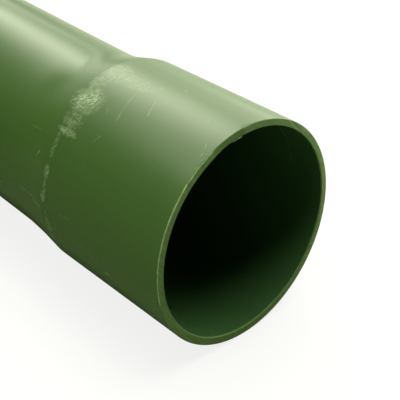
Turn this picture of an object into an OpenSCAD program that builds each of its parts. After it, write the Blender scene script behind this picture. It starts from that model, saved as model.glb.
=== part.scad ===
// Rigid PVC electrical conduit: one extruded length with a belled socket at one end.
// The axis lies along X. The origin is the centre of the socket's mouth, and +X points out of it.
// Units are millimetres.

/* [Pipe] */
// Length over all, from the mouth of the socket to the plain end
total_length = 3000; // [600:10:6000]
// Outside diameter of the pipe
pipe_od = 114.3; // [60:0.1:170]
// Wall thickness of the pipe
pipe_wall = 4.1; // [2:0.05:6]

/* [Socket] */
// Straight depth of the socket, which takes the plain end of the next length
socket_depth = 96; // [40:1:150]
// Gap on each side between the socket and the pipe that goes into it
socket_gap = 0.35; // [0.1:0.05:0.8]
// Wall thickness of the socket, formed from the pipe's own wall
socket_wall = 4.15; // [2:0.05:6]
// Length of the tapered shoulder between the pipe and the socket
shoulder_length = 25; // [12:1:40]
// Radius that rounds both ends of the shoulder
shoulder_radius = 30; // [10:1:40]

/* [Cut ends] */
// Broken edge on the outside of the socket's mouth
mouth_edge = 0.5; // [0.3:0.1:1.5]
// Scraped edge on the inside of the socket's mouth: how deep it runs into the socket
mouth_scrape_depth = 1.0; // [0.4:0.1:3]
// How much wider than the bore the scraped edge opens, on each side
mouth_scrape_width = 0.3; // [0.2:0.1:1.2]
// Broken edge on the outside and inside of the plain end
plain_edge = 0.4; // [0.2:0.1:1.2]

/* [Hidden] */

pipe_r = pipe_od / 2;
pipe_bore_r = pipe_r - pipe_wall;
socket_bore_r = pipe_r + socket_gap;
socket_r = socket_bore_r + socket_wall;
shoulder_end = socket_depth + shoulder_length;
arc_steps = 6;

pvc_green = [0.29, 0.42, 0.22];

// Points of an arc that rounds the corner between two straight runs of a profile.
// Each point is [distance from the mouth, radius]; from, corner and to are in that order.
function unit(v) = v / norm(v);
function rounded_corner(from, corner, to, r) =
    let (
        back = unit(from - corner),
        ahead = unit(to - corner),
        half_angle = acos(back * ahead) / 2,
        reach = r / tan(half_angle),
        centre = corner + unit(back + ahead) * r / sin(half_angle),
        start = corner + back * reach - centre,
        finish = corner + ahead * reach - centre
    )
    [for (i = [0 : arc_steps])
        let (t = i / arc_steps, chord = start * (1 - t) + finish * t)
        centre + unit(chord) * r];

// The shoulder of one face of the wall, from the pipe to the socket, with both corners rounded.
function shoulder(r_pipe, r_socket, r_at_pipe, r_at_socket) =
    let (
        pipe_corner = [shoulder_end, r_pipe],
        socket_corner = [socket_depth, r_socket]
    )
    concat(
        rounded_corner([total_length, r_pipe], pipe_corner, socket_corner, r_at_pipe),
        rounded_corner(pipe_corner, socket_corner, [0, r_socket], r_at_socket)
    );

// Both faces of the wall follow the same shoulder, so the inner arcs differ by the wall.
function wall_profile() = concat(
    [[total_length - plain_edge, pipe_r]],
    shoulder(pipe_r, socket_r, shoulder_radius, shoulder_radius + socket_wall),
    [[mouth_edge, socket_r], [0, socket_r - mouth_edge]],
    [[0, socket_bore_r + mouth_scrape_width], [mouth_scrape_depth, socket_bore_r]],
    reverse(shoulder(pipe_bore_r, socket_bore_r, shoulder_radius + pipe_wall, shoulder_radius)),
    [[total_length - plain_edge, pipe_bore_r], [total_length, pipe_bore_r + plain_edge]],
    [[total_length, pipe_r - plain_edge]]
);

function reverse(list) = [for (i = [len(list) - 1 : -1 : 0]) list[i]];

// The whole length is one wall turned about the axis: extruded pipe, shoulder and socket.
module conduit() {
    color(pvc_green)
    rotate([0, -90, 0])
    rotate_extrude($fn = 180)
    polygon([for (p = wall_profile()) [p[1], p[0]]]);
}

conduit();
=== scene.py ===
"""A length of rigid green PVC electrical conduit with a belled socket, dressed around its CAD frame."""

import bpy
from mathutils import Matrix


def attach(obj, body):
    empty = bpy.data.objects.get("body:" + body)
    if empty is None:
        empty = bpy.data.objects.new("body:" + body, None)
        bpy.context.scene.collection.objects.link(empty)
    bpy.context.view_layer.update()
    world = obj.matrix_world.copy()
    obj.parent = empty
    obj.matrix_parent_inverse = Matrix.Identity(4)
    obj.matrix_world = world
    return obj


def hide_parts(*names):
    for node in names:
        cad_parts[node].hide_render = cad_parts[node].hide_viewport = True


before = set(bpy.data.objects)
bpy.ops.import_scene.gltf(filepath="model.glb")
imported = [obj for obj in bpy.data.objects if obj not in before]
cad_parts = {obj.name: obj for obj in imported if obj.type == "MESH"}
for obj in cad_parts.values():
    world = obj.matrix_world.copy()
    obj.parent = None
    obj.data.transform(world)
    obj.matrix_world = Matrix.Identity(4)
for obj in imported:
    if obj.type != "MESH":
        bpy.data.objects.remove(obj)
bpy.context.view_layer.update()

import logging
import math
from dataclasses import dataclass
from enum import Enum
from typing import Any, Callable, Iterable

import bpy
from mathutils import Vector

LOG = logging.getLogger("conduit")
BODY = "root"
NODE = "conduit"

MM = 0.001
ORIGIN = (0.0, 0.0, 0.0)
ALONG = (1.0, 0.0, 0.0)
SOCKET_DEPTH = 96 * MM
SHOULDER = 25 * MM
# The wall's marks are laid out flat as (distance along the pipe, arc), with the arc taken at this radius.
SKIN_R = 60 * MM
# How near a vertex lies to be taken as being at a point, on an end or on a ring, or as another's double.
SAME_PLACE = 0.001 * MM
ON_END = 0.01 * MM
ON_RING = 0.05 * MM
MERGED = 0.02 * MM
# A broken edge's vertices are picked out to this many times its size.
EDGE_REACH = 1.1
# Nearly all of a noise's values lie between these.
NOISE_LOW, NOISE_HIGH = 0.3, 0.7

Colour = tuple[float, float, float, float]
Tree = bpy.types.NodeTree
Socket = bpy.types.NodeSocket

WHITE: Colour = (1.0, 1.0, 1.0, 1.0)


# ---------------------------------------------------------------- colour and nodes


def linear(code: str) -> Colour:
    """Turn an sRGB hex colour into the linear colour that a shader takes.

    Args:
        code: six hex digits, such as "3f5f27".

    Returns:
        Linear red, green and blue, and an alpha of 1.
    """
    parts = [int(code[i : i + 2], 16) / 255 for i in (0, 2, 4)]
    curved = [c / 12.92 if c <= 0.04045 else ((c + 0.055) / 1.055) ** 2.4 for c in parts]
    return (*curved, 1.0)


def put(tree: Tree, kind: str, inputs: dict[int | str, Any] | None = None, **settings: Any) -> Any:
    """Add one node, with its settings, and fill or link its inputs.

    Args:
        tree: the node tree that gets the node.
        kind: the node's type, such as "ShaderNodeMath".
        inputs: for each input's name or index, a value, a node's output, or a node for its first output.
        **settings: the node's own properties.

    Returns:
        The node.
    """
    node = tree.nodes.new(kind)
    for name, value in settings.items():
        setattr(node, name, value)
    for key, value in (inputs or {}).items():
        if isinstance(value, bpy.types.Node):
            value = value.outputs[0]
        if isinstance(value, bpy.types.NodeSocket):
            tree.links.new(value, node.inputs[key])
        else:
            node.inputs[key].default_value = value
    return node


def faded(tree: Tree, level: Any, edges: Iterable[tuple[Any, float, float]]) -> Any:
    """Multiply a level by a smooth step for each edge.

    Args:
        tree: the node tree.
        level: a number, node or output.
        edges: for each edge, the value it reads, where the step is 0 and where it is 1.

    Returns:
        The node that gives the product.
    """
    for value, none, full in edges:
        step = put(
            tree, "ShaderNodeMapRange", {0: value, 1: none, 2: full}, interpolation_type="SMOOTHSTEP"
        )
        level = put(tree, "ShaderNodeMath", {0: step, 1: level}, operation="MULTIPLY")
    return level


def fresh_material(name: str) -> tuple[bpy.types.Material, Tree]:
    """Make an empty node material.

    Args:
        name: the material's name.

    Returns:
        The material and its node tree.
    """
    material = bpy.data.materials.new(name)
    material.use_nodes = True
    material.node_tree.nodes.clear()
    return material, material.node_tree


# ---------------------------------------------------------------- marks of handling


@dataclass(frozen=True)
class Scuff:
    """A pale rubbed patch on the outside, by its distance from the mouth and its angle round the pipe."""

    from_mouth_mm: float
    angle_deg: float
    half_length_mm: float
    half_width_mm: float
    strength: float


@dataclass(frozen=True)
class Scratch:
    """A thin straight pale mark between two points of the wall."""

    start_mm: float
    start_deg: float
    end_mm: float
    end_deg: float
    width_mm: float
    strength: float


# A ring of patches just in front of the shoulder, strong on top and thinning to a trail down the side.
SCUFFS = (
    Scuff(89.0, 98.0, 7.0, 8.0, 0.5),
    Scuff(78.0, 99.0, 17.0, 5.0, 0.3),
    Scuff(92.0, 108.0, 5.0, 6.0, 0.45),
    Scuff(88.0, 119.0, 10.0, 8.0, 0.95),
    Scuff(87.0, 130.0, 7.0, 7.0, 0.33),
    Scuff(86.5, 137.0, 7.0, 2.2, 0.7),
    Scuff(91.0, 145.0, 1.6, 9.0, 0.3),
    Scuff(91.2, 159.5, 2.3, 4.0, 0.55),
    Scuff(91.5, 168.0, 1.3, 8.0, 0.3),
    Scuff(92.5, 174.0, 2.3, 3.0, 0.5),
    Scuff(91.0, 196.0, 1.6, 16.0, 0.25),
)

SCRATCHES = (
    Scratch(68.0, 100.0, 65.5, 108.0, 0.35, 0.22),
    Scratch(65.5, 108.0, 61.5, 122.0, 0.4, 0.35),
    Scratch(53.0, 102.0, 48.0, 112.0, 0.4, 0.35),
    Scratch(72.0, 118.0, 70.0, 121.0, 0.4, 0.2),
    Scratch(96.0, 76.0, 104.0, 74.0, 0.5, 0.15),
    Scratch(18.6, 99.3, 18.3, 99.8, 0.6, 0.5),
    Scratch(48.0, 88.0, 47.7, 88.3, 0.6, 0.4),
    Scratch(59.0, 94.0, 58.7, 94.4, 0.6, 0.3),
    Scratch(5.2, 115.0, 4.9, 116.5, 0.5, 0.35),
    Scratch(7.5, 110.5, 6.5, 112.5, 0.4, 0.3),
    Scratch(66.0, 146.0, 64.5, 148.5, 0.4, 0.2),
    Scratch(116.5, 143.5, 108.0, 143.0, 0.5, 0.2),
    Scratch(66.5, 134.5, 64.5, 131.0, 0.5, 0.4),
    Scratch(103.5, 156.0, 101.5, 152.5, 0.6, 0.4),
    Scratch(117.0, 179.5, 103.0, 179.0, 0.7, 0.3),
    Scratch(103.0, 180.5, 96.5, 181.5, 0.7, 0.35),
    Scratch(79.0, 178.0, 70.0, 177.0, 0.5, 0.2),
    Scratch(44.0, 197.5, 41.0, 196.5, 0.8, 0.35),
)

# One faint pale streak on the bore near the mouth, drawn as a straight pale line like the scratches.
BORE_STREAK = (Scratch(21.0, 42.0, 21.8, 12.0, 0.9, 0.12),)


# ---------------------------------------------------------------- finishes


@dataclass(frozen=True)
class ExtrudedPvc:
    """Rigid PVC as the extruder leaves it: a satin skin with fine lines drawn along the pipe.

    The pigment is a strong green, and the paler look of the upper side is the skin's own sheen. The socket is
    a little duller than the pipe, because it was heated and stretched. Where the skin is rubbed, it is pale
    and rough in short strokes.
    """

    name: str = "extruded_rigid_pvc"
    colour: str = "3f5a2c"
    pale_colour: str = "b2c1a4"
    cloud_tones: tuple[float, float] = (0.94, 1.06)
    line_tones: tuple[float, float] = (0.97, 1.03)
    pipe_roughness: float = 0.21
    bell_roughness: float = 0.25
    line_roughness: float = 0.03
    rubbed_roughness: float = 0.22
    ior: float = 1.5
    cloud_spacing_mm: float = 1000 / 22
    # The lines lie closer on a real pipe, and are drawn as coarse as they need to be to show.
    line_spacing_mm: float = 1.3
    line_depth_mm: float = 0.006
    line_change_along: float = 0.004
    # In half sizes of a rubbed patch, where it is gone and where it is full.
    scuff_edge: tuple[float, float] = (1.35, 0.25)
    scuff_depth_mm: float = 0.05
    stroke_mm: tuple[float, float] = (3.4, 0.95)
    stroke_leans_deg: tuple[float, ...] = (-78.0, -45.0)
    stroke_span: tuple[float, float] = (0.54, 0.63)
    between_strokes: float = 0.12
    # The gaps in the scratches.
    gap_spacing_mm: float = 1000 / 420
    gap_span: tuple[float, float] = (0.38, 0.62)
    in_gaps: float = 0.2
    scuffs: tuple[Scuff, ...] = SCUFFS
    scratches: tuple[Scratch, ...] = SCRATCHES

    def make(self) -> bpy.types.Material:
        """Build the material.

        Returns:
            The material.
        """
        material, tree = fresh_material(self.name)
        coords = put(tree, "ShaderNodeTexCoord").outputs["Object"]
        x = put(tree, "ShaderNodeSeparateXYZ", {0: coords}).outputs["X"]
        unrolled = self.unrolled(tree, coords)
        lines = self.drawn_lines(tree, coords)
        rubbed = self.rubbed(tree, unrolled)
        cut = self.cut_marks(tree, unrolled)
        pipe, bell = -SOCKET_DEPTH - SHOULDER, -SOCKET_DEPTH
        rough = put(
            tree,
            "ShaderNodeMapRange",
            {0: x, 1: pipe, 2: bell, 3: self.pipe_roughness, 4: self.bell_roughness},
        )
        for pattern, gain in ((lines, self.line_roughness), (rubbed, self.rubbed_roughness)):
            rough = put(tree, "ShaderNodeMath", {0: pattern, 1: gain, 2: rough}, operation="MULTIPLY_ADD")
        bump: dict[str, Any] = {}
        for pattern, depth_mm in ((lines, self.line_depth_mm), (rubbed, self.scuff_depth_mm)):
            relief = {"Strength": 1.0, "Distance": depth_mm * MM, "Height": pattern}
            bump = {"Normal": put(tree, "ShaderNodeBump", {**relief, **bump})}
        colour = self.tinted(tree, coords, lines, rubbed, cut)
        shader = put(
            tree,
            "ShaderNodeBsdfPrincipled",
            {"Base Color": colour, "Roughness": rough, "IOR": self.ior, **bump},
        )
        put(tree, "ShaderNodeOutputMaterial", {"Surface": shader})
        return material

    def unrolled(self, tree: Tree, coords: Socket) -> Any:
        """Lay the skin out flat, cut open along the pipe's underside.

        Args:
            tree: the material's node tree.
            coords: the place in space.

        Returns:
            The distance along the pipe and the arc from +Y up over the top, as one vector.
        """
        place = put(tree, "ShaderNodeSeparateXYZ", {0: coords}).outputs
        front = put(tree, "ShaderNodeMath", {0: place["Y"], 1: -1.0}, operation="MULTIPLY")
        from_top = put(tree, "ShaderNodeMath", {0: front, 1: place["Z"]}, operation="ARCTAN2")
        quarter = math.pi / 2 * SKIN_R
        arc = put(tree, "ShaderNodeMath", {0: from_top, 1: SKIN_R, 2: quarter}, operation="MULTIPLY_ADD")
        return put(tree, "ShaderNodeCombineXYZ", {0: place["X"], 1: arc})

    def drawn_lines(self, tree: Tree, coords: Socket) -> Any:
        """Fine lines along the pipe from the die, which read the direction from the axis and so have no seam.

        Args:
            tree: the material's node tree.
            coords: the place in space.

        Returns:
            The lines' height, between 0 and 1.
        """
        across = put(tree, "ShaderNodeVectorMath", {0: coords, 1: (0.0, 1.0, 1.0)}, operation="MULTIPLY")
        outward = put(tree, "ShaderNodeVectorMath", {0: across}, operation="NORMALIZE")
        slow = (self.line_change_along, 0.0, 0.0)
        along = put(tree, "ShaderNodeVectorMath", {0: coords, 1: slow}, operation="MULTIPLY")
        place = put(
            tree,
            "ShaderNodeVectorMath",
            {0: outward, 1: (SKIN_R, SKIN_R, SKIN_R), 2: along},
            operation="MULTIPLY_ADD",
        )
        scale = 1 / (self.line_spacing_mm * MM)
        return put(
            tree,
            "ShaderNodeTexNoise",
            {"Vector": place, "Scale": scale, "Detail": 3.0, "Roughness": 0.6},
        )

    def rubbed(self, tree: Tree, unrolled: Any) -> Any:
        """Pale rubbed patches, broken into short slanting strokes.

        Args:
            tree: the material's node tree.
            unrolled: the skin laid out flat.

        Returns:
            How rubbed the skin is, between 0 and 1.
        """
        gone, full = self.scuff_edge
        patches: Any = 0.0
        for mark in self.scuffs:
            offset = (mark.from_mouth_mm * MM, -math.radians(mark.angle_deg) * SKIN_R, 0.0)
            moved = put(tree, "ShaderNodeVectorMath", {0: unrolled, 1: offset}, operation="ADD")
            shrink = (1 / (mark.half_length_mm * MM), 1 / (mark.half_width_mm * MM), 0.0)
            scaled = put(tree, "ShaderNodeVectorMath", {0: moved, 1: shrink}, operation="MULTIPLY")
            reach = put(tree, "ShaderNodeVectorMath", {0: scaled}, operation="LENGTH").outputs["Value"]
            fall = put(
                tree,
                "ShaderNodeMapRange",
                {0: reach, 1: gone, 2: full, 3: 0.0, 4: mark.strength},
                interpolation_type="SMOOTHSTEP",
            )
            patches = put(tree, "ShaderNodeMath", {0: patches, 1: fall}, operation="MAXIMUM")
        low, high = self.stroke_span
        strokes: Any = 0.0
        for lean_deg in self.stroke_leans_deg:
            lean = (0.0, 0.0, math.radians(lean_deg))
            size = (*(side * MM for side in self.stroke_mm), 1.0)
            laid = put(
                tree,
                "ShaderNodeMapping",
                {"Vector": unrolled, "Rotation": lean, "Scale": size},
                vector_type="TEXTURE",
            )
            noise = put(
                tree,
                "ShaderNodeTexNoise",
                {"Vector": laid, "Scale": 1.0, "Detail": 3.0, "Roughness": 0.6, "Distortion": 1.2},
            )
            sharp = put(tree, "ShaderNodeMapRange", {0: noise, 1: low, 2: high, 3: self.between_strokes})
            strokes = put(tree, "ShaderNodeMath", {0: sharp, 1: strokes}, operation="MAXIMUM")
        return put(tree, "ShaderNodeMath", {0: patches, 1: strokes}, operation="MULTIPLY")

    def cut_marks(self, tree: Tree, unrolled: Any) -> Any:
        """Thin straight scratches, each drawn by the distance to a short line and broken by small gaps.

        Args:
            tree: the material's node tree.
            unrolled: the skin laid out flat.

        Returns:
            How pale the scratches make the skin.
        """
        total: Any = 0.0
        for mark in self.scratches:
            start = Vector((-mark.start_mm * MM, math.radians(mark.start_deg) * SKIN_R, 0.0))
            end = Vector((-mark.end_mm * MM, math.radians(mark.end_deg) * SKIN_R, 0.0))
            run = end - start
            reach = put(tree, "ShaderNodeVectorMath", {0: unrolled, 1: tuple(start)}, operation="SUBTRACT")
            unit = tuple(run / run.length_squared)
            along = put(tree, "ShaderNodeVectorMath", {0: reach, 1: unit}, operation="DOT_PRODUCT")
            held = put(tree, "ShaderNodeClamp", {0: along.outputs["Value"]})
            foot = put(tree, "ShaderNodeVectorMath", {0: tuple(run), "Scale": held}, operation="SCALE")
            away = put(tree, "ShaderNodeVectorMath", {0: reach, 1: foot}, operation="DISTANCE")
            fall = put(
                tree,
                "ShaderNodeMapRange",
                {0: away.outputs["Value"], 1: 0.0, 2: mark.width_mm * MM, 3: mark.strength, 4: 0.0},
                interpolation_type="SMOOTHSTEP",
            )
            total = put(tree, "ShaderNodeMath", {0: total, 1: fall}, operation="ADD")
        scale = 1 / (self.gap_spacing_mm * MM)
        worn = put(tree, "ShaderNodeTexNoise", {"Vector": unrolled, "Scale": scale, "Detail": 2.0})
        low, high = self.gap_span
        broken = put(tree, "ShaderNodeMapRange", {0: worn, 1: low, 2: high, 3: self.in_gaps})
        return put(tree, "ShaderNodeMath", {0: total, 1: broken}, operation="MULTIPLY")

    def tinted(self, tree: Tree, coords: Socket, lines: Any, rubbed: Any, cut: Any) -> Socket:
        """The pigment, a little uneven, with the pale marks laid over it.

        Args:
            tree: the material's node tree.
            coords: the place in space.
            lines: the drawn lines' height.
            rubbed: how rubbed the skin is.
            cut: how pale the scratches make it.

        Returns:
            The skin's colour.
        """
        scale = 1 / (self.cloud_spacing_mm * MM)
        cloud = put(tree, "ShaderNodeTexNoise", {"Vector": coords, "Scale": scale, "Detail": 3.0})
        dull, bright = self.cloud_tones
        uneven = put(tree, "ShaderNodeMapRange", {0: cloud, 3: dull, 4: bright})
        dull, bright = self.line_tones
        span = {1: NOISE_LOW, 2: NOISE_HIGH, 3: dull, 4: bright}
        streak = put(tree, "ShaderNodeMapRange", {0: lines, **span})
        level = put(tree, "ShaderNodeMath", {0: uneven, 1: streak}, operation="MULTIPLY")
        green = linear(self.colour)[:3]
        pigment = put(tree, "ShaderNodeVectorMath", {0: green, "Scale": level}, operation="SCALE")
        marks = put(tree, "ShaderNodeMath", {0: rubbed, 1: cut}, operation="ADD", use_clamp=True)
        mixed = put(
            tree,
            "ShaderNodeMix",
            {"Factor": marks, "A": pigment, "B": linear(self.pale_colour)},
            data_type="RGBA",
        )
        return mixed.outputs["Result"]


@dataclass(frozen=True)
class SawnPvc:
    """Rigid PVC where it was sawn, snapped or scraped: a matt face, with fine slanting marks from the teeth.

    It is paler than the skin, because plastic that the saw tore open scatters light, and palest toward +Y and
    a little up.
    """

    name: str = "sawn_rigid_pvc"
    colour: str = "46652e"
    pale_colour: str = "9cb07c"
    paleness: float = 0.27
    # The side where the face is palest, and how far out toward it the paler part starts and is full.
    pale_side_deg: float = 25.0
    pale_side_from_mm: float = 36.0
    pale_side_to_mm: float = 56.0
    pale_side_paleness: float = 0.6
    roughness: float = 0.7
    ior: float = 1.5
    specular: float = 0.2
    tooth_spacing_mm: float = 0.6
    tooth_depth_mm: float = 0.03
    tooth_stretch: float = 16.0
    tooth_lean_deg: float = 37.0

    def make(self) -> bpy.types.Material:
        """Build the material.

        Returns:
            The material.
        """
        material, tree = fresh_material(self.name)
        coords = put(tree, "ShaderNodeTexCoord").outputs["Object"]
        lean, stretch = (math.radians(self.tooth_lean_deg), 0.0, 0.0), (1.0, 1.0, self.tooth_stretch)
        slanted = put(
            tree,
            "ShaderNodeMapping",
            {"Vector": coords, "Rotation": lean, "Scale": stretch},
            vector_type="TEXTURE",
        )
        scale = 1 / (self.tooth_spacing_mm * MM)
        teeth = put(
            tree,
            "ShaderNodeTexNoise",
            {"Vector": slanted, "Scale": scale, "Detail": 3.0, "Roughness": 0.6},
        )
        pale_way = math.radians(self.pale_side_deg)
        side = (0.0, math.cos(pale_way), math.sin(pale_way))
        toward = put(tree, "ShaderNodeVectorMath", {0: coords, 1: side}, operation="DOT_PRODUCT")
        side_paleness = put(
            tree,
            "ShaderNodeMapRange",
            {
                0: toward.outputs["Value"],
                1: self.pale_side_from_mm * MM,
                2: self.pale_side_to_mm * MM,
                3: self.paleness,
                4: self.pale_side_paleness,
            },
            interpolation_type="SMOOTHSTEP",
        )
        share = put(tree, "ShaderNodeMapRange", {0: teeth, 1: NOISE_LOW, 2: NOISE_HIGH, 4: side_paleness})
        tone = put(
            tree,
            "ShaderNodeMix",
            {"Factor": share, "A": linear(self.colour), "B": linear(self.pale_colour)},
            data_type="RGBA",
        )
        depth = self.tooth_depth_mm * MM
        bump = put(tree, "ShaderNodeBump", {"Strength": 1.0, "Distance": depth, "Height": teeth})
        shader = put(
            tree,
            "ShaderNodeBsdfPrincipled",
            {
                "Base Color": tone.outputs["Result"],
                "Roughness": self.roughness,
                "IOR": self.ior,
                "Specular IOR Level": self.specular,
                "Normal": bump,
            },
        )
        put(tree, "ShaderNodeOutputMaterial", {"Surface": shader})
        return material


class Face(Enum):
    """The faces of the pipe's wall, with the material slot that each takes."""

    SKIN = 0
    BORE = 1
    SAWN = 2
    BROKEN = 3
    SCRAPED = 4


WALL_FINISHES = {
    Face.SKIN: ExtrudedPvc(),
    # The bore is the same PVC as the skin, but its pigment is a bluer green: painted shade, the bluish cast
    # that the dim bore takes on.
    Face.BORE: ExtrudedPvc(name="extruded_rigid_pvc_bore_shade_tinted", colour="3c5d37", scuffs=(), scratches=BORE_STREAK),
    Face.SAWN: SawnPvc(),
    Face.BROKEN: SawnPvc(name="snapped_rigid_pvc", paleness=0.08, pale_side_paleness=0.08, tooth_depth_mm=0.01),
    # The scraped edge of the bore is matt, as cut. Its lighter green, palest toward +Y, is a painted
    # highlight along that edge.
    Face.SCRAPED: SawnPvc(
        name="scraped_rigid_pvc_painted_highlight", colour="5b7c3c", pale_colour="9db383", pale_side_paleness=0.45
    ),
}

BURR_FINISH = SawnPvc(name="frayed_rigid_pvc", colour="8a9f72", paleness=0.9, pale_side_paleness=0.9)


# ---------------------------------------------------------------- modelling


def deselect_all() -> None:
    """Leave nothing selected, so that an operator acts only on what is chosen next."""
    bpy.ops.object.select_all(action="DESELECT")


def select_vertices(piece: bpy.types.Object, wanted: Callable[[Vector], bool]) -> None:
    """Select the vertices of a piece in edit mode by their place.

    Args:
        piece: the piece in edit mode.
        wanted: says for a vertex's place whether it is selected.
    """
    bpy.ops.mesh.select_mode(type="VERT")
    bpy.ops.mesh.select_all(action="DESELECT")
    bpy.ops.object.mode_set(mode="OBJECT")
    for vertex in piece.data.vertices:
        vertex.select = wanted(vertex.co)
    bpy.ops.object.mode_set(mode="EDIT")


def stations(piece: bpy.types.Object) -> list[float]:
    """Find the rings of vertices along a piece in edit mode.

    Args:
        piece: the piece in edit mode.

    Returns:
        The rings' places along X, in order and rounded as `station_of` does.
    """
    bpy.ops.object.mode_set(mode="OBJECT")
    found = {station_of(vertex.co) for vertex in piece.data.vertices}
    bpy.ops.object.mode_set(mode="EDIT")
    return sorted(found)


def station_of(place: Vector) -> float:
    """The place of a vertex along X, to a thousandth of a millimetre, which tells its ring."""
    return round(place.x, 6)


def angle_deg(place: Vector) -> float:
    """The angle of a place round the pipe's axis, from +Y up over the top, between 0 and 360."""
    return math.degrees(math.atan2(place.z, place.y)) % 360


@dataclass(frozen=True)
class ConduitLength:
    """One length of conduit: the extruded pipe, its shoulder, the belled socket and both cut ends.

    The axis is X. The mouth is at 0, and the pipe runs from it toward -X.
    """

    length: float = 3.0
    pipe_r: float = 57.15 * MM
    pipe_wall: float = 4.1 * MM
    bore_r: float = 57.5 * MM
    bell_r: float = 61.65 * MM
    socket_depth: float = SOCKET_DEPTH
    shoulder: float = SHOULDER
    shoulder_start_r: float = 150 * MM
    shoulder_end_r: float = 10 * MM

    # Where the wall has rings of vertices: evenly along the pipe, closer before the shoulder, evenly along
    # the socket, and two just behind the mouth.
    pipe_spacing: float = 0.15
    pipe_rings: int = 19
    closer_rings: tuple[float, ...] = (-0.25, -0.2, -0.17)
    socket_spans: int = 12
    mouth_rings: tuple[float, ...] = (-4 * MM, -1.5 * MM)
    turns: int = 360
    smooth_deg: float = 35.0

    # The two cut ends. The scraped width and depth are those of the bore's edge at the mouth.
    mouth_edge: float = 0.5 * MM
    plain_edge: float = 0.4 * MM
    edge_segments: int = 4
    scraped_depth: float = 0.55 * MM
    scraped_width: float = 0.3 * MM
    slant_deg: float = 1.15
    slanted_length: float = 2.0 * MM
    # A polygon whose normal has more than this along X faces endways.
    endways: float = 0.8

    # The snapped stretch of the mouth, which goes down in steps, and the nick beside its start.
    snapped_deg: tuple[float, float] = (93.5, 113.5)
    snapped_depth: float = 0.35 * MM
    snapped_steps: int = 3
    nick_deg: float = 3.0
    nick_scale: float = 0.997

    # The ragged stretch of the mouth's outer edge.
    ragged_deg: tuple[float, float] = (112.0, 192.0)
    ragged_depth: float = 0.16 * MM
    ragged_seed: int = 7

    # How the socket was pressed: its shares out of round, and how far its bore is off its centre.
    out_of_round: float = 0.02
    bore_shift: tuple[float, float] = (0.24 * MM, 0.45 * MM)

    # How the pipe runs out of line with the socket: which way, how far and how softly it sets off, how far
    # along it keeps to that line, and where it is straight again.
    sag: float = 0.6 * MM
    lean: float = 0.0235
    lean_deg: float = 57.0
    knee: float = 12 * MM
    knee_softness: float = 20 * MM
    leaning_until: float = 0.2
    straight_again: float = 0.7

    def rounded(
        self, before: Vector, corner: Vector, after: Vector, radius: float, steps: int = 10
    ) -> list[Vector]:
        """Round a corner of the profile with an arc.

        Args:
            before: a point on the run before the corner.
            corner: the corner.
            after: a point on the run after it.
            radius: the arc's radius.
            steps: how many chords stand for the arc.

        Returns:
            The arc's points, in order.
        """
        back, ahead = (before - corner).normalized(), (after - corner).normalized()
        half = back.angle(ahead) / 2
        reach = radius / math.tan(half)
        centre = corner + (back + ahead).normalized() * (radius / math.sin(half))
        start, finish = corner + back * reach - centre, corner + ahead * reach - centre
        return [centre + start.lerp(finish, i / steps).normalized() * radius for i in range(steps + 1)]

    def shoulder_points(
        self, pipe_r: float, socket_r: float, pipe_arc: float, socket_arc: float
    ) -> list[Vector]:
        """Draw one face of the shoulder, from the pipe to the socket, with both corners rounded.

        Args:
            pipe_r: the face's radius on the pipe.
            socket_r: its radius on the socket.
            pipe_arc: the radius of the corner at the pipe.
            socket_arc: the radius of the corner at the socket.

        Returns:
            The face's points, each as a distance along the axis and a radius.
        """
        low = Vector((-self.socket_depth - self.shoulder, pipe_r))
        high = Vector((-self.socket_depth, socket_r))
        return [
            *self.rounded(Vector((-self.length, pipe_r)), low, high, pipe_arc),
            *self.rounded(low, high, Vector((0.0, socket_r)), socket_arc),
        ]

    def profile(self) -> list[Vector]:
        """Draw half of the wall's section: along the outside to the mouth, then back along the bore.

        Returns:
            The section's points, each as a distance along the axis and a radius.
        """
        wall = self.bell_r - self.bore_r
        inner_r = self.pipe_r - self.pipe_wall
        start_r, end_r = self.shoulder_start_r, self.shoulder_end_r
        outer = self.shoulder_points(self.pipe_r, self.bell_r, start_r, end_r + wall)
        inner = self.shoulder_points(inner_r, self.bore_r, start_r + self.pipe_wall, end_r)
        even = (-self.length + self.pipe_spacing * step for step in range(self.pipe_rings))
        far = [*even, *self.closer_rings]
        spans = self.socket_spans
        near = [*(outer[-1].x * (1 - step / spans) for step in range(1, spans)), *self.mouth_rings]
        outside = [Vector((x, self.pipe_r)) for x in far] + outer + [Vector((x, self.bell_r)) for x in near]
        inside = [Vector((x, inner_r)) for x in far] + inner + [Vector((x, self.bore_r)) for x in near]
        lip = [
            Vector((0.0, self.bell_r)),
            Vector((0.0, self.bore_r + self.scraped_width)),
            Vector((-self.scraped_depth, self.bore_r)),
        ]
        return [*outside, *lip, *reversed(inside)]

    def build(self) -> bpy.types.Object:
        """Make the wall by turning its section about the axis, then cut, press and dress it.

        Returns:
            The wall.
        """
        wall = self.turn()
        self.break_edges(wall)
        self.snap_off(wall)
        self.sort_faces(wall)
        self.flatten(wall)
        self.bow(wall)
        self.fray(wall)
        self.slant(wall)
        bpy.ops.object.mode_set(mode="OBJECT")
        deselect_all()
        wall.select_set(True)
        bpy.ops.object.shade_smooth_by_angle(angle=math.radians(self.smooth_deg))
        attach(wall, BODY)
        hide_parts(NODE)
        return wall

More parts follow.
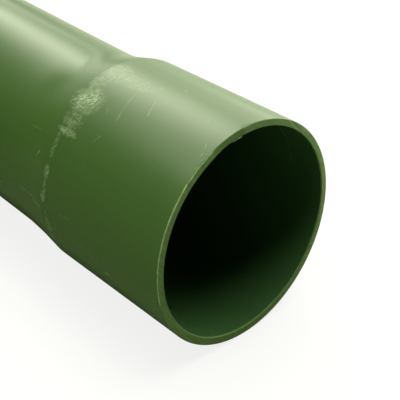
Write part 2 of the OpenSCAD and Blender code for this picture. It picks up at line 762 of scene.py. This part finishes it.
    def turn(self) -> bpy.types.Object:
        """Draw the section as a chain of edges, close it at the plain end and spin it round the axis.

        Returns:
            The wall, in edit mode.
        """
        deselect_all()
        points = self.profile()
        first = points[0]
        bpy.ops.mesh.primitive_plane_add(size=1 * MM, location=(first.x, 0.0, first.y))
        wall = bpy.context.object
        wall.name = wall.data.name = "conduit_wall"
        bpy.ops.object.transform_apply(location=True, rotation=True, scale=True)
        bpy.ops.object.mode_set(mode="EDIT")
        bpy.ops.mesh.select_all(action="SELECT")
        bpy.ops.mesh.merge(type="CENTER")
        for here, there in zip(points, points[1:]):
            step = there - here
            bpy.ops.mesh.extrude_region_move(TRANSFORM_OT_translate={"value": (step.x, 0.0, step.y)})
        ends = [Vector((point.x, 0.0, point.y)) for point in (points[0], points[-1])]
        select_vertices(wall, lambda co: any((co - end).length < SAME_PLACE for end in ends))
        bpy.ops.mesh.edge_face_add()
        bpy.ops.mesh.select_all(action="SELECT")
        bpy.ops.mesh.spin(steps=self.turns, angle=2 * math.pi, center=ORIGIN, axis=ALONG)
        bpy.ops.mesh.select_all(action="SELECT")
        bpy.ops.mesh.remove_doubles(threshold=MERGED)
        bpy.ops.mesh.normals_make_consistent(inside=False)
        return wall

    def break_edges(self, wall: bpy.types.Object) -> None:
        """Break the sharp edges of the two cut ends.

        Args:
            wall: the wall in edit mode.
        """
        for x, radius, size in (
            (0.0, self.bell_r, self.mouth_edge),
            (-self.length, self.pipe_r, self.plain_edge),
            (-self.length, self.pipe_r - self.pipe_wall, self.plain_edge),
        ):
            select_vertices(wall, lambda co: abs(co.x - x) < ON_END and abs(co.yz.length - radius) < ON_RING)
            bpy.ops.mesh.select_mode(type="EDGE")
            bpy.ops.mesh.bevel(offset=size, segments=self.edge_segments, profile=0.5, affect="EDGES")

    def at_mouth(self, place: Vector) -> bool:
        """Say whether a place lies in the mouth's face or its broken edge."""
        return place.x > -EDGE_REACH * self.mouth_edge

    def snap_off(self, wall: bpy.types.Object) -> None:
        """Set back the stretch of the mouth that snapped off before the saw reached it.

        Each step down starts a degree farther in and ends two degrees earlier than the one before.

        Args:
            wall: the wall in edit mode.
        """
        start, finish = self.snapped_deg
        for step in range(self.snapped_steps):
            select_vertices(
                wall, lambda co: self.at_mouth(co) and start + step <= angle_deg(co) <= finish - 2 * step
            )
            bpy.ops.transform.translate(value=(-self.snapped_depth / self.snapped_steps, 0.0, 0.0))
        select_vertices(
            wall,
            lambda co: self.at_mouth(co)
            and co.yz.length > self.bell_r - self.mouth_edge
            and start - self.nick_deg <= angle_deg(co) < start,
        )
        nick = (1.0, self.nick_scale, self.nick_scale)
        bpy.ops.transform.resize(value=nick, center_override=ORIGIN)

    def fray(self, wall: bpy.types.Object) -> None:
        """Roughen the mouth's outer edge where the saw left the wall.

        Args:
            wall: the wall in edit mode.
        """
        start, finish = self.ragged_deg
        select_vertices(
            wall,
            lambda co: self.at_mouth(co)
            and co.yz.length > self.bell_r - EDGE_REACH * self.mouth_edge
            and start <= angle_deg(co) <= finish,
        )
        bpy.ops.transform.vertex_random(
            offset=self.ragged_depth, uniform=1.0, normal=0.0, seed=self.ragged_seed
        )

    def flatten(self, wall: bpy.types.Object) -> None:
        """Press the socket out of round and its bore off centre, less and less over the shoulder.

        Lengths that are stacked get this shape.

        Args:
            wall: the wall in edit mode.
        """
        start = -self.socket_depth - self.shoulder
        for station in stations(wall):
            if station <= start:
                continue
            share = min(1.0, (station - start) / self.shoulder)
            middle = self.pipe_r + share * (self.bell_r - self.pipe_r) - self.pipe_wall / 2
            select_vertices(wall, lambda co: station_of(co) == station and co.yz.length < middle)
            bpy.ops.transform.translate(value=(0.0, *(share * shift for shift in self.bore_shift)))
            flat = share * self.out_of_round
            select_vertices(wall, lambda co: station_of(co) == station)
            bpy.ops.transform.resize(value=(1.0, 1 - flat, 1 + flat), center_override=(station, 0.0, 0.0))

    def off_line(self, x: float) -> float:
        """Say how far the pipe's axis lies off the socket's there.

        Args:
            x: the place along the axis.

        Returns:
            The distance. The axis dips over the shoulder, rises after it, and is back on its line farther on.
        """
        past = -x - self.socket_depth
        dip = min(1.0, max(0.0, past / self.shoulder))
        past_knee = past - self.shoulder - self.knee
        rise = self.lean * (past_knee + math.hypot(past_knee, self.knee_softness)) / 2
        fade = min(1.0, max(0.0, (self.straight_again + x) / (self.straight_again - self.leaning_until)))
        return (rise - self.sag * dip * dip * (3 - 2 * dip)) * fade * fade * (3 - 2 * fade)

    def bow(self, wall: bpy.types.Object) -> None:
        """Let the pipe run a little out of line with the socket, and straighten it farther on.

        Args:
            wall: the wall in edit mode.
        """
        way = math.radians(self.lean_deg)
        for station in stations(wall):
            if -self.straight_again < station < -self.socket_depth:
                shift = self.off_line(station)
                select_vertices(wall, lambda co: station_of(co) == station)
                bpy.ops.transform.translate(value=(0.0, shift * math.cos(way), shift * math.sin(way)))

    def slant(self, piece: bpy.types.Object) -> None:
        """Turn what lies at the mouth about Y, because the saw did not cut it quite square.

        Args:
            piece: the wall, or a piece that lies on the mouth, in edit mode.
        """
        select_vertices(piece, lambda co: co.x > -self.slanted_length)
        turn = math.radians(self.slant_deg)
        bpy.ops.transform.rotate(value=turn, orient_axis="Y", center_override=ORIGIN)

    def sort_faces(self, wall: bpy.types.Object) -> None:
        """Give each face of the wall its finish.

        Args:
            wall: the wall in edit mode.
        """
        bpy.ops.object.mode_set(mode="OBJECT")
        for face in Face:
            wall.data.materials.append(WALL_FINISHES[face].make())
        for polygon in wall.data.polygons:
            polygon.material_index = self.face_of(polygon).value
        bpy.ops.object.mode_set(mode="EDIT")

    def face_of(self, polygon: bpy.types.MeshPolygon) -> Face:
        """Tell a polygon's face by its place and by the way it points.

        Args:
            polygon: one of the wall's polygons.

        Returns:
            The face of the wall that it is part of.
        """
        centre = polygon.center
        outward = polygon.normal.yz.dot(centre.yz) / centre.yz.length
        endways = abs(polygon.normal.x) > self.endways
        at_edge = centre.x > -self.scraped_depth
        if not endways and not (at_edge and outward < 0):
            return Face.SKIN if outward > 0 else Face.BORE
        start, finish = self.snapped_deg
        if at_edge and start < angle_deg(centre) < finish:
            return Face.BROKEN
        return Face.SAWN if endways else Face.SCRAPED


@dataclass(frozen=True)
class Fringe:
    """One stretch of pale lip on the mouth's edges: its angles round the axis, its place on the edge and its
    thickness.
    """

    from_deg: float
    to_deg: float
    radius_mm: float
    thickness_mm: float


@dataclass(frozen=True)
class MouthBurr:
    """The thin ragged lip that the saw pushed up along part of the mouth's outer edge, and a thin pale strip
    along a short stretch of its inner edge.

    The raggedness is a share of each stretch's own thickness. The noise moves nothing at its middle level.
    """

    conduit: ConduitLength
    fringes: tuple[Fringe, ...] = (
        Fringe(113.0, 131.0, 61.55, 0.17),
        Fringe(131.0, 136.5, 61.75, 0.34),
        Fringe(136.0, 151.0, 61.5, 0.24),
        Fringe(150.0, 168.0, 61.45, 0.22),
        Fringe(167.0, 191.0, 61.45, 0.2),
        # A thin pale strip on the inner edge.
        Fringe(95.0, 101.5, 58.0, 0.11),
    )
    raggedness: float = 2.2
    middle_level: float = 0.45
    grain: float = 1.2 * MM
    step_deg: float = 0.5
    section_sides: int = 8

    def build(self) -> bpy.types.Object:
        """Make and roughen every stretch, join them, and lay the whole on the mouth as it was cut.

        Returns:
            The burr.
        """
        strips = [self.strip(fringe) for fringe in self.fringes]
        noise = bpy.data.textures.new("burr_grain", "CLOUDS")
        noise.noise_scale = self.grain
        for strip, fringe in zip(strips, self.fringes):
            bpy.context.view_layer.objects.active = strip
            ragged = strip.modifiers.new("ragged", "DISPLACE")
            ragged.texture, ragged.mid_level = noise, self.middle_level
            ragged.strength = self.raggedness * fringe.thickness_mm * MM
            bpy.ops.object.modifier_apply(modifier=ragged.name)
        deselect_all()
        for strip in strips:
            strip.select_set(True)
        bpy.context.view_layer.objects.active = strips[0]
        bpy.ops.object.join()
        burr = bpy.context.object
        burr.name = burr.data.name = "mouth_burr"
        bpy.ops.object.mode_set(mode="EDIT")
        flat = self.conduit.out_of_round
        bpy.ops.mesh.select_all(action="SELECT")
        bpy.ops.transform.resize(value=(1.0, 1 - flat, 1 + flat), center_override=ORIGIN)
        self.conduit.slant(burr)
        bpy.ops.object.mode_set(mode="OBJECT")
        bpy.ops.object.shade_smooth()
        burr.data.materials.append(BURR_FINISH.make())
        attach(burr, BODY)
        return burr

    def strip(self, fringe: Fringe) -> bpy.types.Object:
        """Make one stretch: a small ring spun round the axis and closed to a point at both ends.

        Args:
            fringe: the stretch's sizes.

        Returns:
            The stretch, still smooth.
        """
        deselect_all()
        radius, start = fringe.radius_mm * MM, math.radians(fringe.from_deg)
        bpy.ops.mesh.primitive_circle_add(
            vertices=self.section_sides,
            radius=fringe.thickness_mm * MM,
            location=(0.0, radius * math.cos(start), radius * math.sin(start)),
            rotation=(start, 0.0, 0.0),
        )
        strip = bpy.context.object
        bpy.ops.object.transform_apply(location=True, rotation=True, scale=True)
        bpy.ops.object.mode_set(mode="EDIT")
        bpy.ops.mesh.select_all(action="SELECT")
        turn = fringe.to_deg - fringe.from_deg
        steps = round(turn / self.step_deg)
        bpy.ops.mesh.spin(steps=steps, angle=-math.radians(turn), center=ORIGIN, axis=ALONG)
        for end_deg in (fringe.from_deg, fringe.to_deg):
            select_vertices(strip, lambda co: abs(angle_deg(co) - end_deg) < self.step_deg / 4)
            bpy.ops.mesh.merge(type="CENTER")
        bpy.ops.mesh.select_all(action="SELECT")
        bpy.ops.mesh.normals_make_consistent(inside=False)
        bpy.ops.object.mode_set(mode="OBJECT")
        return strip


# ---------------------------------------------------------------- studio


@dataclass(frozen=True)
class Softbox:
    """A soft-edged bright patch, by its angles round the pipe's axis and along it, and its level."""

    around_deg: float
    half_deg: float
    near_deg: float
    far_deg: float
    edge_deg: float
    level: float


SOFTBOXES = (
    Softbox(170.0, 30.0, -14.0, 1.5, 6.0, 5.9),
    Softbox(5.0, 26.0, -34.0, 23.0, 28.0, 5.8),
    Softbox(-7.0, 22.0, 52.0, 75.0, 9.0, 9.0),
)


@dataclass(frozen=True)
class CeilingLight:
    """A rectangular light on a high ceiling, with its level and the widths of its soft edges.

    Its place and sizes are shares of the ceiling's height above the mouth.
    """

    middle: tuple[float, float]
    half_length: float
    half_width: float
    turned_deg: float
    soft_near: float
    soft_far: float
    soft_sides: float
    level: float


CEILING_LIGHTS = (
    CeilingLight((-1.15, 0.64), 1.58, 0.22, -22.7, 0.12, 0.8, 0.96, 5.5),
    CeilingLight((0.13, 0.11), 0.2, 0.3, -24.3, 0.12, 0.12, 0.8, 3.6),
    CeilingLight((-0.69, -0.54), 2.04, 0.15, -70.7, 5.0, 5.0, 0.85, 4.95),
    CeilingLight((-6.46, 2.82), 3.09, 1.52, -23.8, 8.0, 1.75, 1.08, 2.75),
)


@dataclass(frozen=True)
class FloorGlow:
    """Light that the floor throws up, growing along one axis from nothing at one place to full at another."""

    axis: str
    none_at: float
    full_at: float
    level: float


# The floor is brighter in front of the mouth and beyond the pipe, and duller far along it.
FLOOR_GLOWS = (
    FloorGlow("X", -0.06, 0.1, 0.26),
    FloorGlow("Y", 0.0, 0.2, 0.87),
    FloorGlow("X", -0.4, -1.6, -0.14),
)


@dataclass(frozen=True)
class Studio:
    """A pale floor, ceiling lights, soft boxes round the pipe and the camera."""

    floor_z: float = -63.0 * MM
    floor_size: float = 60.0
    floor_paint: Colour = (0.85, 0.85, 0.85, 1.0)
    floor_whiteness: float = 0.82
    floor_glows: tuple[FloorGlow, ...] = FLOOR_GLOWS
    warmth: Colour = (0.96, 1.0, 0.785, 1.0)

    # The green light that the pipe throws on the floor and gets back, and the strip under it that has none:
    # for the distance to each side and for the place along it, where the strip starts and where it is full.
    thrown_back: Colour = (0.74, 1.0, 0.45, 1.0)
    thrown_level: float = 0.17
    strip_sides: tuple[float, float] = (0.07, 0.03)
    strip_ahead: tuple[float, float] = (0.02, -0.03)

    # The ceiling lights end just above the horizon.
    lowest_rise: float = 0.03
    horizon: tuple[float, float] = (0.02, 0.04)
    softboxes: tuple[Softbox, ...] = SOFTBOXES
    ceiling_lights: tuple[CeilingLight, ...] = CEILING_LIGHTS

    camera_place: tuple[float, float, float] = (0.25943, -0.27427, 0.26724)
    azimuth_deg: float = 47.083
    elevation_deg: float = 33.099
    lens_mm: float = 82.2
    sensor_mm: float = 36.0
    clip: tuple[float, float] = (0.01, 100.0)

    def build(self) -> None:
        """Build the floor, the sky and the camera."""
        self.floor()
        self.sky()
        self.camera()

    def floor(self) -> None:
        """Lay a wide floor that shows white with a faint shadow, and throws light up at the pipe."""
        deselect_all()
        bpy.ops.mesh.primitive_plane_add(size=self.floor_size, location=(0.0, 0.0, self.floor_z))
        floor = bpy.context.object
        floor.name = "floor"
        bpy.ops.object.transform_apply(location=True, rotation=True, scale=True)
        material, tree = fresh_material("pale_floor")
        path = put(tree, "ShaderNodeLightPath").outputs
        white = put(tree, "ShaderNodeEmission", {"Color": WHITE, "Strength": 1.0})
        paint = put(tree, "ShaderNodeBsdfDiffuse", {"Color": self.floor_paint})
        seen = put(tree, "ShaderNodeMixShader", {0: self.floor_whiteness, 1: paint, 2: white})
        coords = put(tree, "ShaderNodeTexCoord").outputs["Object"]
        place = put(tree, "ShaderNodeSeparateXYZ", {0: coords}).outputs
        glow: Any = 0.0
        for part in self.floor_glows:
            rise = put(
                tree,
                "ShaderNodeMapRange",
                {0: place[part.axis], 1: part.none_at, 2: part.full_at, 4: part.level},
                interpolation_type="SMOOTHSTEP",
            )
            glow = put(tree, "ShaderNodeMath", {0: rise, 1: glow}, operation="ADD")
        far = put(tree, "ShaderNodeEmission", {"Color": self.warmth, "Strength": glow})
        aside = put(tree, "ShaderNodeMath", {0: place["Y"]}, operation="ABSOLUTE")
        strip = faded(tree, 1.0, ((aside, *self.strip_sides), (place["X"], *self.strip_ahead)))
        around = put(tree, "ShaderNodeMath", {0: 1.0, 1: strip}, operation="SUBTRACT")
        level = put(tree, "ShaderNodeMath", {0: around, 1: self.thrown_level}, operation="MULTIPLY")
        near = put(tree, "ShaderNodeEmission", {"Color": self.thrown_back, "Strength": level})
        lit = put(tree, "ShaderNodeAddShader", {0: far, 1: near})
        mixed = put(tree, "ShaderNodeMixShader", {0: path["Is Camera Ray"], 1: lit, 2: seen})
        put(tree, "ShaderNodeOutputMaterial", {"Surface": mixed})
        floor.data.materials.append(material)

    def sky(self) -> None:
        """Light the pipe from the ceiling lights and soft boxes, with plain white where the camera looks."""
        world = bpy.data.worlds.new("studio")
        bpy.context.scene.world = world
        world.use_nodes = True
        tree = world.node_tree
        tree.nodes.clear()
        way = put(tree, "ShaderNodeTexCoord").outputs["Generated"]
        toward = put(tree, "ShaderNodeSeparateXYZ", {0: way}).outputs
        around = put(tree, "ShaderNodeMath", {0: toward["Z"], 1: toward["Y"]}, operation="ARCTAN2")
        along = put(tree, "ShaderNodeMath", {0: toward["X"]}, operation="ARCSINE")
        level = self.overhead(tree, toward)
        for box in self.softboxes:
            patch = self.patch(tree, box, around, along)
            level = put(tree, "ShaderNodeMath", {0: patch, 1: level}, operation="ADD")
        light = put(tree, "ShaderNodeBackground", {"Color": self.warmth, "Strength": level})
        white = put(tree, "ShaderNodeBackground", {"Color": WHITE, "Strength": 1.0})
        path = put(tree, "ShaderNodeLightPath").outputs
        mixed = put(tree, "ShaderNodeMixShader", {0: path["Is Camera Ray"], 1: light, 2: white})
        put(tree, "ShaderNodeOutputWorld", {"Surface": mixed})

    def overhead(self, tree: Tree, toward: Any) -> Any:
        """Work out the ceiling lights' brightness toward each direction.

        Args:
            tree: the world's node tree.
            toward: the direction's X, Y and Z.

        Returns:
            The sum of the ceiling lights.
        """
        rise = put(tree, "ShaderNodeMath", {0: toward["Z"], 1: self.lowest_rise}, operation="MAXIMUM")
        x, y = (put(tree, "ShaderNodeMath", {0: toward[a], 1: rise}, operation="DIVIDE") for a in "XY")
        spot = put(tree, "ShaderNodeCombineXYZ", {0: x, 1: y})
        total: Any = 0.0
        for lamp in self.ceiling_lights:
            turn = (0.0, 0.0, math.radians(lamp.turned_deg))
            turned = put(
                tree,
                "ShaderNodeMapping",
                {"Vector": spot, "Location": (*lamp.middle, 0.0), "Rotation": turn},
                vector_type="TEXTURE",
            )
            split = put(tree, "ShaderNodeSeparateXYZ", {0: turned}).outputs
            aside = put(tree, "ShaderNodeMath", {0: split["Y"]}, operation="ABSOLUTE")
            edges = (
                (split["X"], lamp.half_length, lamp.soft_near / 2),
                (split["X"], -lamp.half_length, -lamp.soft_far / 2),
                (aside, lamp.half_width, lamp.soft_sides / 2),
            )
            lit = faded(tree, lamp.level, ((value, edge + soft, edge - soft) for value, edge, soft in edges))
            total = put(tree, "ShaderNodeMath", {0: lit, 1: total}, operation="ADD")
        none, full = self.horizon
        above = put(tree, "ShaderNodeMapRange", {0: toward["Z"], 1: none, 2: full})
        return put(tree, "ShaderNodeMath", {0: total, 1: above}, operation="MULTIPLY")

    def patch(self, tree: Tree, box: Softbox, around: Any, along: Any) -> Any:
        """Work out one soft box's brightness toward each direction.

        Args:
            tree: the world's node tree.
            box: the soft box.
            around: the direction's angle round the pipe's axis.
            along: its angle along the axis.

        Returns:
            The brightness.
        """
        edge = math.radians(box.edge_deg)
        middle = math.radians(box.around_deg)
        turned = put(tree, "ShaderNodeMath", {0: around, 1: middle}, operation="SUBTRACT")
        cosine = put(tree, "ShaderNodeMath", {0: turned}, operation="COSINE")
        off = put(tree, "ShaderNodeMath", {0: cosine}, operation="ARCCOSINE")
        half, near, far = (math.radians(angle) for angle in (box.half_deg, box.near_deg, box.far_deg))
        edges = ((off, 2 * half, 0.0), (along, near - edge, near + edge), (along, far + edge, far - edge))
        return faded(tree, box.level, edges)

    def camera(self) -> None:
        """Set the camera in front of the mouth and above it, held level."""
        lens = bpy.data.cameras.new("camera")
        lens.lens = self.lens_mm
        lens.sensor_width = self.sensor_mm
        lens.clip_start, lens.clip_end = self.clip
        camera = bpy.data.objects.new("camera", lens)
        bpy.context.collection.objects.link(camera)
        camera.location = self.camera_place
        camera.rotation_euler = (math.radians(90 - self.elevation_deg), 0.0, math.radians(self.azimuth_deg))
        scene = bpy.context.scene
        scene.camera = camera
        scene.view_settings.view_transform = "Standard"


def main() -> None:
    """Build the studio and the conduit."""
    logging.basicConfig(level=logging.INFO, format="%(name)s: %(message)s")
    Studio().build()
    conduit = ConduitLength()
    for piece in (conduit.build(), MouthBurr(conduit).build()):
        LOG.info("%s: %d faces", piece.name, len(piece.data.polygons))


if __name__ == "__main__":
    main()
